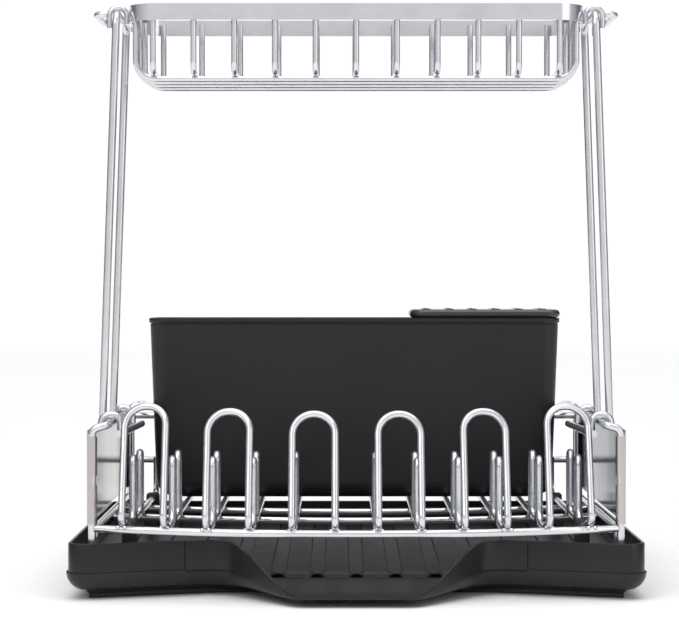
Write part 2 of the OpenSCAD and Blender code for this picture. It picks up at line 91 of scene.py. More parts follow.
def ramp(tree, factor, low, high, start=0.3, end=0.7):
    """A colour ramp from low to high; low and high are RGB triples."""
    node = tree.nodes.new("ShaderNodeValToRGB")
    node.color_ramp.elements[0].position = start
    node.color_ramp.elements[0].color = (*low, 1)
    node.color_ramp.elements[1].position = end
    node.color_ramp.elements[1].color = (*high, 1)
    tree.links.new(factor, node.inputs["Fac"])
    return node.outputs["Color"]


def mix_colours(tree, factor, first, second, blend="MIX"):
    """First blended with second; factor is a socket or a number."""
    node = tree.nodes.new("ShaderNodeMix")
    node.data_type = "RGBA"
    node.blend_type = blend
    if isinstance(factor, (int, float)):
        node.inputs["Factor"].default_value = factor
    else:
        tree.links.new(factor, node.inputs["Factor"])
    tree.links.new(first, node.inputs["A"])
    tree.links.new(second, node.inputs["B"])
    return node.outputs["Result"]


def map_range(tree, factor, low, high):
    node = tree.nodes.new("ShaderNodeMapRange")
    node.inputs["To Min"].default_value = low
    node.inputs["To Max"].default_value = high
    tree.links.new(factor, node.inputs["Value"])
    return node.outputs["Result"]


def bump(tree, shader, height, strength, distance):
    node = tree.nodes.new("ShaderNodeBump")
    node.inputs["Strength"].default_value = strength
    node.inputs["Distance"].default_value = distance
    tree.links.new(height, node.inputs["Height"])
    tree.links.new(node.outputs["Normal"], shader.inputs["Normal"])


def painted_wire():
    """Satin silver-grey paint over wire: faint clouding, soft orange peel, uneven gloss."""
    base = (0.7, 0.71, 0.74)
    material, tree, shader, place = new_material("satin_silver_paint", base, 0.85, 0.24)
    cloud = ramp(tree, noise(tree, place, 45), (0.64, 0.65, 0.68), (0.71, 0.72, 0.75))
    tree.links.new(cloud, shader.inputs["Base Color"])
    tree.links.new(map_range(tree, noise(tree, place, 120), 0.15, 0.22), shader.inputs["Roughness"])
    bump(tree, shader, noise(tree, place, 160, 1.0), 0.05, 0.0003)
    shader.inputs["Coat Weight"].default_value = 0.1
    shader.inputs["Coat Roughness"].default_value = 0.12
    return material


def math_node(tree, operation, first, second):
    """A math node on a socket and a second socket or number."""
    node = tree.nodes.new("ShaderNodeMath")
    node.operation = operation
    tree.links.new(first, node.inputs[0])
    if isinstance(second, (int, float)):
        node.inputs[1].default_value = second
    else:
        tree.links.new(second, node.inputs[1])
    return node.outputs["Value"]


def split(tree, vector):
    """The X, Y and Z outputs of a vector."""
    node = tree.nodes.new("ShaderNodeSeparateXYZ")
    tree.links.new(vector, node.inputs["Vector"])
    return node.outputs


def polished_steel():
    """Polished stainless sheet, brushed upright, with a painted dark reflection, blue-black and
    streaked, on the inward face of the right sheet.
    """
    base = (0.47, 0.45, 0.45)
    material, tree, shader, place = new_material("polished_steel", base, 1.0, 0.14)
    lines = noise(tree, stretched(tree, place, (700, 700, 10)), 1.0, 4.0)
    tree.links.new(map_range(tree, lines, 0.1, 0.22), shader.inputs["Roughness"])
    # Painted warm reflection: the beige tone of the steel stands in for warm surroundings it
    # reflects, and the noise varies the tone at random.
    tint = noise(tree, stretched(tree, place, (8, 8, 3)), 1.0, 2.0)
    warm_reflection_and_tone = ramp(tree, tint, (0.44, 0.41, 0.4), (0.53, 0.49, 0.48))
    # Painted dark reflection: a streaked blue-black tint on the inward face of the right sheet
    # stands in for the dark surroundings it would mirror.
    reflection_streaks = noise(tree, stretched(tree, place, (60, 60, 9)), 1.0, 3.0)
    painted_dark_reflection = ramp(tree, reflection_streaks, (0.05, 0.06, 0.1), (0.2, 0.22, 0.28))
    normal = tree.nodes.new("ShaderNodeNewGeometry").outputs["Normal"]
    inward = math_node(tree, "LESS_THAN", split(tree, normal)["X"], -0.9)
    on_right = math_node(tree, "GREATER_THAN", split(tree, place)["X"], 0)
    painted_reflection_mask = math_node(tree, "MULTIPLY", inward, on_right)
    tree.links.new(mix_colours(tree, painted_reflection_mask, warm_reflection_and_tone, painted_dark_reflection), shader.inputs["Base Color"])
    bump(tree, shader, lines, 0.03, 0.0002)
    return material


def moulded_plastic(name, low, high, roughness, grain, shine=0.3):
    """Black moulded plastic: spark-eroded grain, faint cloudiness and fine rub marks."""
    material, tree, shader, place = new_material(name, low, 0.0, roughness)
    cloud = noise(tree, place, 12, 4.0)
    tree.links.new(ramp(tree, cloud, low, high), shader.inputs["Base Color"])
    rubbed = noise(tree, place, 70, 4.0)
    gloss = map_range(tree, rubbed, roughness - 0.06, roughness + 0.08)
    tree.links.new(gloss, shader.inputs["Roughness"])
    bump(tree, shader, noise(tree, place, grain, 3.0, 0.7), 0.22, 0.00025)
    shader.inputs["Specular IOR Level"].default_value = shine
    return material


def soft_foot():
    """Soft black plastic, dull and faintly speckled."""
    material, tree, shader, place = new_material("foot_plastic", (0.02, 0.02, 0.022), 0.0, 0.6)
    tree.links.new(map_range(tree, noise(tree, place, 300), 0.5, 0.7), shader.inputs["Roughness"])
    speckle = ramp(tree, noise(tree, place, 40), (0.016, 0.016, 0.018), (0.03, 0.03, 0.032))
    tree.links.new(speckle, shader.inputs["Base Color"])
    bump(tree, shader, noise(tree, place, 1400), 0.3, 0.0002)
    return material


def pale_floor():
    material, tree, shader, place = new_material("pale_floor", (0.9, 0.9, 0.9), 0.0, 0.6)
    cloud = ramp(tree, noise(tree, place, 3), (0.89, 0.89, 0.895), (0.91, 0.91, 0.91))
    tree.links.new(cloud, shader.inputs["Base Color"])
    return material


PAINT = painted_wire()
STEEL = polished_steel()
TRAY_PLASTIC = moulded_plastic(
    "tray_plastic",
    low=(0.0135, 0.0115, 0.012), high=(0.017, 0.0145, 0.015), roughness=0.28, grain=1500,
)
FLOOR_PLASTIC = moulded_plastic(
    "tray_floor_plastic",
    low=(0.017, 0.0155, 0.0165), high=(0.022, 0.02, 0.021), roughness=0.42, grain=1100,
)
CADDY_PLASTIC = moulded_plastic(
    "caddy_plastic",
    low=(0.015, 0.0135, 0.015), high=(0.019, 0.017, 0.019), roughness=0.32, grain=1700,
)
INSERT_PLASTIC = moulded_plastic(
    "insert_plastic",
    low=(0.024, 0.021, 0.023), high=(0.03, 0.026, 0.028), roughness=0.2, grain=1300, shine=0.6,
)
FOOT_PLASTIC = soft_foot()

SLOT_MATERIALS = {
    "frame_paint": PAINT,
    "panel_steel": STEEL,
    "tray_plastic": TRAY_PLASTIC,
    "caddy_plastic": CADDY_PLASTIC,
    "insert_plastic": INSERT_PLASTIC,
    "foot_plastic": FOOT_PLASTIC,
}


def dress_cad_nodes():
    """Gives every CAD node the finished material of its slot."""
    for row in frame["record"]["subparts"]:
        node = frame["nodes"][row["node"]]
        for slot in node.material_slots:
            slot.material = SLOT_MATERIALS[row["material_slot"]]


# ---------------------------------------------------------------- mesh helpers

def new_piece(name, mesh, body, slot, material=None):
    """Links an object for the mesh, in the slot's material or its own, riding on the body."""
    piece = bpy.data.objects.new(name, mesh)
    scene.collection.objects.link(piece)
    mesh.materials.append(material or SLOT_MATERIALS[slot])
    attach(piece, body)
    return piece


def mesh_from(name, build, smooth_angle=40):
    """A mesh made by build(bm), cleaned, with normals outward and smooth below smooth_angle."""
    bm = bmesh.new()
    build(bm)
    bmesh.ops.remove_doubles(bm, verts=bm.verts, dist=0.01 * MM)
    bmesh.ops.dissolve_degenerate(bm, edges=bm.edges, dist=0.01 * MM)
    bmesh.ops.recalc_face_normals(bm, faces=bm.faces)
    mesh = bpy.data.meshes.new(name)
    bm.to_mesh(mesh)
    bm.free()
    mesh.shade_smooth()
    mesh.set_sharp_from_angle(angle=math.radians(smooth_angle))
    return mesh


def inset_corners(corners, distance):
    """Moves each edge of a counter-clockwise polygon inward by distance."""
    moved = []
    for i, corner in enumerate(corners):
        before = (corner - corners[i - 1]).normalized()
        after = (corners[(i + 1) % len(corners)] - corner).normalized()
        inward = Vector((-before.y, before.x)) + Vector((-after.y, after.x))
        moved.append(corner + inward * distance / (1 + before.dot(after)))
    return moved


def even_shares(steps):
    return [k / steps for k in range(1, steps)]


def rounded_outline(corners, radii, inset, arc_steps, shares):
    """A closed outline with rounded corners, with points at the given shares of each straight edge.

    It has the same number of points for every inset.
    """
    corners = inset_corners(corners, inset)
    points = []
    for i, corner in enumerate(corners):
        before = (corner - corners[i - 1]).normalized()
        after = (corners[(i + 1) % len(corners)] - corner).normalized()
        turn = math.atan2(before.cross(after), before.dot(after))
        radius = max(radii[i] - math.copysign(inset, turn), 0.2 * MM)
        back = radius * math.tan(abs(turn) / 2)
        normal = Vector((-before.y, before.x)) * math.copysign(1, turn)
        center = corner - before * back + normal * radius
        start = corner - before * back - center
        for k in range(arc_steps + 1):
            angle = turn * k / arc_steps
            points.append(center + Matrix.Rotation(angle, 2) @ start)
        following = (i + 1) % len(corners)
        next_corner = corners[following]
        next_after = (corners[(i + 2) % len(corners)] - next_corner).normalized()
        next_turn = math.atan2(after.cross(next_after), after.dot(next_after))
        next_radius = max(radii[following] - math.copysign(inset, next_turn), 0.2 * MM)
        finish = next_corner - after * next_radius * math.tan(abs(next_turn) / 2)
        begin = points[-1]
        points += [begin.lerp(finish, share) for share in shares[i]]
    return points


def bridge(bm, rings, closed):
    """Quads between rings of points.

    When closed, the last ring joins the first. Otherwise both ends get a cap.
    """
    rows = [[bm.verts.new(p) for p in ring] for ring in rings]
    count = len(rows[0])
    pairs = list(zip(rows, rows[1:]))
    if closed:
        pairs.append((rows[-1], rows[0]))
    for lower, upper in pairs:
        for k in range(count):
            m = (k + 1) % count
            bm.faces.new((lower[k], lower[m], upper[m], upper[k]))
    if not closed:
        bm.faces.new(list(reversed(rows[0])))
        bm.faces.new(rows[-1])


def smoothstep(t):
    t = min(max(t, 0.0), 1.0)
    return t * t * (3 - 2 * t)


# ---------------------------------------------------------------- drain tray

TRAY_LOW, TRAY_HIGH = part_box("drain_tray")
HALF_W = TRAY_HIGH[0]
REAR_Y = TRAY_HIGH[1]
LIP_Y = TRAY_LOW[1]
RIM_Z = TRAY_HIGH[2]
FRONT_Y = LIP_Y + 30 * MM
ROOT_Y = FRONT_Y + 37 * MM
ROOT_HALF = 105 * MM
LIP_HALF = 46 * MM
LIP_RIM_Z = 10 * MM
SLOT_Y = FRONT_Y + 15 * MM
FLOOR_FRONT_Z = 20 * MM
FLOOR_RISE = 5 * MM
FLOOR_STEP = 2.5 * MM
SPOUT_FLOOR_Z = 8.6 * MM
FLOOR_THICK = 2.6 * MM
WALL = 2.4 * MM
CHANNEL_PITCH = 30 * MM
CHANNEL_HALF = 5.2 * MM
RIB_H = 1.5 * MM
BASE_INSET = 17 * MM
BASE_Z = 7 * MM
LEDGE_Z = 20 * MM
LEDGE = 1.5 * MM
PLAIN_HALF = 132 * MM
CORNER_R = 16 * MM
ROOT_R = 24 * MM
BASE_R = 14 * MM
SPOUT_BASE_R = 1.4 * MM
TRAY_ARC_STEPS = 14


def tray_corners(with_spout):
    """Corners of the tray seen from above, counter-clockwise from the rear left."""
    lip_y = LIP_Y if with_spout else ROOT_Y
    return [
        Vector((-HALF_W, REAR_Y)),
        Vector((-HALF_W, FRONT_Y)),
        Vector((-ROOT_HALF, ROOT_Y)),
        Vector((-LIP_HALF, lip_y)),
        Vector((LIP_HALF, lip_y)),
        Vector((ROOT_HALF, ROOT_Y)),
        Vector((HALF_W, FRONT_Y)),
        Vector((HALF_W, REAR_Y)),
    ]


def ledge_share(corner_r, root_r):
    """How far along the straight slant of the front wall the ledge ends."""
    slant = Vector((HALF_W - ROOT_HALF, ROOT_Y - FRONT_Y))
    slope = math.atan2(slant.y, slant.x)
    spout = math.atan2(ROOT_Y - LIP_Y, ROOT_HALF - LIP_HALF)
    start = corner_r * math.tan((math.pi / 2 + slope) / 2)
    finish = slant.length - root_r * math.tan((slope + spout) / 2)
    return ((HALF_W - PLAIN_HALF) / math.cos(slope) - start) / (finish - start)


def tray_outline(inset, with_spout=True):
    lip_r = 16 * MM if with_spout else 1 * MM
    root_r = ROOT_R if with_spout else 30 * MM
    radii = [CORNER_R, CORNER_R, root_r, lip_r, lip_r, root_r, CORNER_R, CORNER_R]
    ledge_end = ledge_share(CORNER_R, ROOT_R)
    slant = sorted(even_shares(30) + [ledge_end - 0.0015, ledge_end + 0.0015])
    mirrored = [1 - share for share in reversed(slant)]
    sides, spout, lip = even_shares(60), even_shares(22), even_shares(30)
    shares = [sides, slant, spout, lip, spout, mirrored, sides, sides]
    return rounded_outline(tray_corners(with_spout), radii, inset, TRAY_ARC_STEPS, shares)


def rim_height(point):
    """Height of the rim: level round the tray, and an S-curve down each side of the spout."""
    if abs(point.x) > ROOT_HALF + 12 * MM or point.y > 0:
        return RIM_Z
    fall = ((ROOT_Y - point.y) / (ROOT_Y - LIP_Y) - 0.05) / 0.97
    return RIM_Z - (RIM_Z - LIP_RIM_Z) * smoothstep(fall)


def tray_floor_height(y):
    """Height of the channels: a slope, a step at the slots, then a fall to the lip."""
    if y > SLOT_Y:
        return FLOOR_FRONT_Z + FLOOR_RISE * (y - SLOT_Y) / (REAR_Y - SLOT_Y)
    after_step = FLOOR_FRONT_Z - FLOOR_STEP * smoothstep((SLOT_Y - y) / (1.2 * MM))
    fall = smoothstep((SLOT_Y - 4 * MM - y) / (SLOT_Y - 12 * MM - LIP_Y))
    return after_step - (FLOOR_FRONT_Z - FLOOR_STEP - SPOUT_FLOOR_Z) * fall


def tray_wall_rings():
    """Rings of the tray wall: base ring, up the outside, over the rim and down the inside."""
    outer = tray_outline(0)
    rim = [rim_height(p) for p in outer]
    spout = [1 - (z - LIP_RIM_Z) / (RIM_Z - LIP_RIM_Z) for z in rim]
    recess = [0 if p.y < 0 and abs(p.x) < PLAIN_HALF else LEDGE for p in outer]

    def flat(inset, z):
        return [Vector((p.x, p.y, z)) for p in tray_outline(inset, with_spout=False)]

    def level(insets, heights):
        """A ring whose inset and height are given for each point."""
        layers = {i: tray_outline(i) for i in set(insets)}
        return [Vector((*layers[i][k], z)) for k, (i, z) in enumerate(zip(insets, heights))]

    count = len(outer)
    rings = [
        flat(BASE_INSET + WALL, 0.5 * MM),
        flat(BASE_INSET + WALL - 0.5 * MM, 0),
        flat(BASE_INSET + 0.6 * MM, 0),
        flat(BASE_INSET, 0.8 * MM),
        flat(BASE_INSET, BASE_Z - 0.6 * MM),
        flat(BASE_INSET - 0.8 * MM, BASE_Z),
    ]
    for k in range(9):
        angle = math.radians(90 * k / 8)
        ring = []
        wide = tray_outline(BASE_R * (1 - math.sin(angle)))
        slim = tray_outline(SPOUT_BASE_R * (1 - math.sin(angle)))
        for i in range(count):
            across = wide[i].lerp(slim[i], spout[i])
            size = BASE_R + (SPOUT_BASE_R - BASE_R) * spout[i]
            low = BASE_Z - 1 * MM * spout[i]
            ring.append(Vector((*across, low + size * (1 - math.cos(angle)))))
        rings.append(ring)

    def upper(inset, below_rim):
        """A ring near the rim, which follows its fall and the recess of the wall."""
        return level([round(inset + shift, 6) for shift in recess], [z - below_rim for z in rim])

    ledge_low = [min(LEDGE_Z - 0.5 * MM, rim[i] - 2.2 * MM) for i in range(count)]
    rings.append(level([0] * count, ledge_low))
    insets = [recess[i] * 0.3 for i in range(count)]
    rings.append(level(insets, [z + 0.35 * MM for z in ledge_low]))
    rings.append(level(recess, [z + 0.5 * MM for z in ledge_low]))
    rings.append(upper(0, 0.9 * MM))
    rings.append(upper(0.25 * MM, 0.3 * MM))
    rings.append(upper(0.8 * MM, 0))
    rings.append(upper(WALL - 0.6 * MM, 0))
    rings.append(upper(WALL - 0.1 * MM, 0.4 * MM))
    inner_low = [min(tray_floor_height(p.y), rim[i] - 1.2 * MM) for i, p in enumerate(outer)]
    inner = [WALL + shift for shift in recess]
    rings.append(level([round(i, 6) for i in inner], [z + 0.2 * MM for z in inner_low]))
    rings.append(level([round(i + 1 * MM, 6) for i in inner], [z - 1 * MM for z in inner_low]))
    return rings


def build_tray_wall(bm):
    bridge(bm, tray_wall_rings(), closed=True)


def crossings(outline, x):
    """Lowest and highest y at which a closed outline crosses the line at x."""
    found = []
    for i, a in enumerate(outline):
        b = outline[(i + 1) % len(outline)]
        if (a.x - x) * (b.x - x) <= 0 and a.x != b.x:
            found.append(a.y + (b.y - a.y) * (x - a.x) / (b.x - a.x))
    return min(found), max(found)


def rib_rise(x, y):
    """Height of the raised flats above the channels at x, ending at the slots."""
    from_channel = abs((x + CHANNEL_PITCH / 2) % CHANNEL_PITCH - CHANNEL_PITCH / 2)
    across = smoothstep((from_channel - CHANNEL_HALF) / (1 * MM))
    along = smoothstep((y - SLOT_Y - 0.4 * MM) / (1.2 * MM))
    return RIB_H * across * along


def slot_drop(x, y):
    """Depth of the small recess under each slot's hood."""
    middle = round(x / CHANNEL_PITCH) * CHANNEL_PITCH
    if abs(middle) > 2.5 * CHANNEL_PITCH:
        return 0
    across = smoothstep((4.6 * MM - abs(x - middle)) / (0.5 * MM))
    along = smoothstep((SLOT_Y + 9 * MM - y) / (0.8 * MM)) * (1 if y > SLOT_Y - 1.3 * MM else 0)
    step = tray_floor_height(y) - (FLOOR_FRONT_Z - FLOOR_STEP)
    return max(step, 0) * across * along


def build_tray_floor(bm):
    outline = tray_outline(WALL + 0.6 * MM)
    half = max(p.x for p in outline) - 0.05 * MM
    columns = {-half, half}
    edge = 0.5 * MM
    for i in range(-8, 9):
        middle = i * CHANNEL_PITCH
        for offset in (0, CHANNEL_HALF, CHANNEL_HALF + edge, CHANNEL_HALF + 2 * edge, 9.8 * MM):
            columns |= {middle + offset, middle - offset}
        if abs(i) <= 2:
            columns |= {middle + s * w * MM for s in (-1, 1) for w in (4.1, 4.35, 4.6)}
    corner_steps = 28
    for side in (-1, 1):
        for k in range(corner_steps):
            past = 26 * MM * (1 - math.sin(math.pi / 2 * k / corner_steps))
            columns.add(side * (half - past))
        columns |= {side * (LIP_HALF + (ROOT_HALF - LIP_HALF) * k / 24) for k in range(25)}
    columns = sorted(x for x in columns if abs(x) <= half)
    rows = [LIP_Y + 1.6 * MM * k for k in range(int((SLOT_Y - LIP_Y) / (1.6 * MM)))]
    round_slots = (-2.5, -1.6, -1.25, -0.9, -0.6, -0.3, 0, 0.4, 0.8, 1.2, 1.6, 4, 8.2, 8.6, 9, 12)
    rows += [SLOT_Y + d * MM for d in round_slots]
    rows += [SLOT_Y + 18 * MM + (REAR_Y - SLOT_Y - 18 * MM) * k / 24 for k in range(25)]
    top, bottom = [], []
    for x in columns:
        front, rear = crossings(outline, x)
        front = max(front, LIP_Y + 1.5 * MM)
        line = [min(max(y, front), rear) for y in rows]
        channel = [tray_floor_height(y) - slot_drop(x, y) for y in line]
        top.append([bm.verts.new((x, y, z + rib_rise(x, y))) for y, z in zip(line, channel)])
        bottom.append([bm.verts.new((x, y, z - FLOOR_THICK)) for y, z in zip(line, channel)])
    for i in range(len(columns) - 1):
        for k in range(len(rows) - 1):
            bm.faces.new((top[i][k], top[i + 1][k], top[i + 1][k + 1], top[i][k + 1]))
            bm.faces.new((bottom[i][k], bottom[i][k + 1], bottom[i + 1][k + 1], bottom[i + 1][k]))
        for k in (0, len(rows) - 1):
            bm.faces.new((top[i][k], top[i + 1][k], bottom[i + 1][k], bottom[i][k]))
    for i in (0, len(columns) - 1):
        for k in range(len(rows) - 1):
            bm.faces.new((top[i][k], top[i][k + 1], bottom[i][k + 1], bottom[i][k]))


def build_slot_hoods(bm):
    """A low arched hood over each of the five slots, closed at the back."""
    outer_w, inner_w = 5.6 * MM, 4.5 * MM
    outer_h, inner_h = 3.5 * MM, 2.6 * MM
    low_z = FLOOR_FRONT_Z - FLOOR_STEP - 0.1 * MM
    steps = 12
    for i in range(-2, 3):
        x = i * CHANNEL_PITCH
        rings = []
        for depth, scale in ((-1.6, 1), (-1.6, 0), (6, 0), (9.5, 1)):
            wide = outer_w if scale else inner_w
            high = outer_h if scale else inner_h
            taper = 0.72 if depth > 9 else 1
            rings.append([
                Vector((
                    x + wide * math.cos(math.pi * k / steps),
                    SLOT_Y + depth * MM,
                    low_z + high * taper * math.sin(math.pi * k / steps) ** 0.8,
                ))
                for k in range(steps + 1)
            ])
        rows = [[bm.verts.new(p) for p in ring] for ring in rings]
        for lower, upper in zip(rows, rows[1:] + rows[:1]):
            for k in range(steps):
                bm.faces.new((lower[k], lower[k + 1], upper[k + 1], upper[k]))
        for k in (0, steps):
            bm.faces.new([row[k] for row in rows])


def make_tray():
    """The moulded tray: wall and spout, channelled floor, and hoods over the slots."""
    wall_mesh = mesh_from("tray_wall", build_tray_wall, 35)
    floor_mesh = mesh_from("tray_floor", build_tray_floor, 30)
    hood_mesh = mesh_from("tray_hoods", build_slot_hoods, 50)
    wall = new_piece("tray_wall_and_spout", wall_mesh, "tray", "tray_plastic")
    new_piece("tray_floor", floor_mesh, "tray", "tray_plastic", FLOOR_PLASTIC)
    new_piece("tray_slot_hoods", hood_mesh, "tray", "tray_plastic")
    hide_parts("drain_tray")


# ---------------------------------------------------------------- caddy

def rounded_box_ring(low, high, radius, z, arc=8):
    """A level ring round the box from low to high, with rounded corners."""
    around = ((low[0], high[1]), (low[0], low[1]), (high[0], low[1]), (high[0], high[1]))
    corners = [Vector(corner) for corner in around]
    shares = [even_shares(steps) for steps in (6, 24, 6, 24)]
    outline = rounded_outline(corners, [radius] * 4, 0, arc, shares)
    return [Vector((p.x, p.y, z)) for p in outline]


CADDY_LOW, CADDY_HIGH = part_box("caddy_shell")
CADDY_DRAFT = 5.5 * MM
CADDY_FRONT_DRAFT = 5 * MM
CADDY_WALL = 2.4 * MM
CADDY_BEAD = 1 * MM
CADDY_CORNER_R = 14 * MM
CADDY_FOOT_R = 15 * MM


def caddy_ring(inset, z, foot=0.0):
    """Ring round the caddy at height z, drawn in by inset, and by foot near the base."""
    below = (CADDY_HIGH[2] - z) / (CADDY_HIGH[2] - CADDY_LOW[2])
    side = CADDY_BEAD + inset + foot + CADDY_DRAFT * below
    front = CADDY_BEAD + inset + foot * 0.8 + CADDY_FRONT_DRAFT * below
    back = CADDY_BEAD + inset + foot * 0.8
    low = (CADDY_LOW[0] + side, CADDY_LOW[1] + front)
    high = (CADDY_HIGH[0] - side, CADDY_HIGH[1] - back)
    return rounded_box_ring(low, high, max(CADDY_CORNER_R - inset, 4 * MM), z)


def rounded_base(inset, base_z, radius):
    """Rings that turn from the flat base into the upright wall."""
    steps = 9
    rings = []
    for k in range(steps + 1):
        angle = math.radians(90 * k / steps)
        z = base_z + radius * (1 - math.cos(angle))
        rings.append(caddy_ring(inset, z, radius * (1 - math.sin(angle))))
    return rings


def build_caddy(bm):
    low, top = CADDY_LOW[2], CADDY_HIGH[2]
    rings = rounded_base(0, low, CADDY_FOOT_R)
    rings += [caddy_ring(0, z) for z in (low + 50 * MM, low + 100 * MM, top - 5.4 * MM)]
    groove_bead_and_rim = [
        (0.5 * MM, 5.1 * MM),
        (0.5 * MM, 4.3 * MM),
        (-0.7 * CADDY_BEAD, 4.1 * MM),
        (-CADDY_BEAD, 3.6 * MM),
        (-CADDY_BEAD, 0.9 * MM),
        (-0.7 * CADDY_BEAD, 0.2 * MM),
        (-0.2 * CADDY_BEAD, 0),
        (CADDY_WALL - 0.6 * MM, 0),
        (CADDY_WALL - 0.1 * MM, 0.5 * MM),
        (CADDY_WALL, 1.2 * MM),
    ]
    rings += [caddy_ring(inset, top - below) for inset, below in groove_bead_and_rim]
    rings += list(reversed(rounded_base(CADDY_WALL, low + CADDY_WALL, CADDY_FOOT_R - CADDY_WALL)))
    bridge(bm, rings, closed=False)


def add_box(bm, low, high):
    """A closed box, used to cut slots and notches."""
    size = Vector(high) - Vector(low)
    middle = (Vector(high) + Vector(low)) / 2
    matrix = Matrix.Translation(middle) @ Matrix.Diagonal((*size, 1))
    bmesh.ops.create_cube(bm, size=1, matrix=matrix)


def cut(piece, build):
    """Takes the boxes made by build out of the piece's mesh."""
    bm = bmesh.new()
    build(bm)
    mesh = bpy.data.meshes.new("cutter")
    bm.to_mesh(mesh)
    bm.free()
    cutter = bpy.data.objects.new("cutter", mesh)
    scene.collection.objects.link(cutter)
    modifier = piece.modifiers.new("cut", "BOOLEAN")
    modifier.operation = "DIFFERENCE"
    modifier.solver = "EXACT"
    modifier.object = cutter
    evaluated = piece.evaluated_get(bpy.context.evaluated_depsgraph_get())
    result = bpy.data.meshes.new_from_object(evaluated)
    piece.modifiers.clear()
    old = piece.data
    piece.data = result
    bpy.data.meshes.remove(old)
    bpy.data.objects.remove(cutter)
    bpy.data.meshes.remove(mesh)
    piece.data.shade_smooth()
    piece.data.set_sharp_from_angle(angle=math.radians(40))


def cut_caddy(bm):
    """Drain slots through the base, and the two small notches in the front of the rim."""
    low, high = CADDY_LOW, CADDY_HIGH
    x = low[0] + 31 * MM
    while x <= high[0] - 31 * MM:
        start = (x - 2 * MM, low[1] + 22 * MM, low[2] - 2 * MM)
        add_box(bm, start, (x + 2 * MM, high[1] - 18 * MM, low[2] + 4 * MM))
        x += 15 * MM
    for x in (-161 * MM, -47 * MM):
        start = (x - 1.5 * MM, low[1] - 1 * MM, high[2] - 1.2 * MM)
        add_box(bm, start, (x + 1.5 * MM, low[1] + 6 * MM, high[2] + 1 * MM))


def make_caddy():
    shell = new_piece("caddy_body", mesh_from("caddy", build_caddy), "caddy", "caddy_plastic")
    cut(shell, cut_caddy)
    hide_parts("caddy_shell")


# ---------------------------------------------------------------- knife insert

INSERT_LOW, INSERT_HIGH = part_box("knife_insert")
CAP_H = 8 * MM
CAP_R = 12 * MM
KNIFE_SLOTS = 6
SLOT_HALF_W = 1.5 * MM


def cap_ring(inset, z):
    low = (INSERT_LOW[0] + inset, INSERT_LOW[1] + inset)
    high = (INSERT_HIGH[0] - inset, INSERT_HIGH[1] - inset)
    return rounded_box_ring(low, high, CAP_R - inset, z)


def build_insert_cap(bm):
    low = INSERT_HIGH[2] - CAP_H
    edge = (CAP_H - 0.8 * MM) / 2
    rings = []
    for k in range(15):
        angle = math.radians(180 * k / 14 - 90)
        rings.append(cap_ring(edge * (1 - math.cos(angle)), low + edge * (1 + math.sin(angle))))
    bridge(bm, rings, closed=False)


def slot_positions():
    """X of each knife slot, evenly spread over the cap."""
    width = INSERT_HIGH[0] - INSERT_LOW[0] - 10 * MM
    first = INSERT_LOW[0] + 4.5 * MM
    return [first + width * (k + 0.5) / KNIFE_SLOTS for k in range(KNIFE_SLOTS)]


def build_slot_collars(bm):
    """A low rounded collar that stands round each knife slot."""
    top = INSERT_HIGH[2]
    low_y, high_y = INSERT_LOW[1] + 9 * MM, INSERT_HIGH[1] - 9 * MM
    section = ((2.2, -1.2), (2.0, -0.4), (1.5, -0.05), (0.9, 0), (0.4, -0.25), (0.2, -2.2))
    for x in slot_positions():
        rings = []
        for grow, z in section:
            side = SLOT_HALF_W + grow * MM
            low = (x - side, low_y - grow * MM)
            high = (x + side, high_y + grow * MM)
            rings.append(rounded_box_ring(low, high, side * 0.98, top + z * MM, 6))
        rings.append(rounded_box_ring(low, high, side * 0.98, top - 3 * MM, 6))
        low = (x - SLOT_HALF_W - 2.2 * MM, low_y - 2.2 * MM)
        high = (x + SLOT_HALF_W + 2.2 * MM, high_y + 2.2 * MM)
        rings.append(rounded_box_ring(low, high, SLOT_HALF_W + 2 * MM, top - 3 * MM, 6))
        bridge(bm, rings, closed=True)


def cut_insert(bm):
    for x in slot_positions():
        add_box(
            bm,
            (x - SLOT_HALF_W, INSERT_LOW[1] + 9.3 * MM, INSERT_HIGH[2] - CAP_H - 2 * MM),
            (x + SLOT_HALF_W, INSERT_HIGH[1] - 9.3 * MM, INSERT_HIGH[2] + 2 * MM),
        )


def build_insert_sleeve(bm):
    """Open sleeve that reaches down inside the caddy."""
    low_z, high_z = INSERT_LOW[2], INSERT_HIGH[2] - CAP_H + 0.2 * MM
    left, front = INSERT_LOW[0] + 2 * MM, INSERT_LOW[1] + 6.5 * MM
    right, back = INSERT_HIGH[0] - 6.6 * MM, INSERT_HIGH[1] - 5.4 * MM
    wall = 2 * MM
    rings = []
    outside = [(0, high_z), (0.3 * MM, low_z + 0.4 * MM), (0.8 * MM, low_z)]
    for inset, z in outside + [(wall - 0.3 * MM, low_z), (wall, high_z)]:
        low = (left + inset, front + inset)
        high = (right - inset, back - inset)
        rings.append(rounded_box_ring(low, high, 8 * MM - inset, z))
    bridge(bm, rings, closed=True)


def make_knife_insert():
    cap_mesh = mesh_from("insert_cap", build_insert_cap)
    cap = new_piece("insert_cap", cap_mesh, "insert", "insert_plastic")
    cut(cap, cut_insert)
    collars = mesh_from("insert_collars", build_slot_collars)
    new_piece("insert_slot_collars", collars, "insert", "insert_plastic")
    sleeve = mesh_from("insert_sleeve", build_insert_sleeve)
    new_piece("insert_sleeve", sleeve, "insert", "insert_plastic")
    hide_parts("knife_insert")


# ---------------------------------------------------------------- rack feet

FOOT_CLIP_HALF = 5.6 * MM


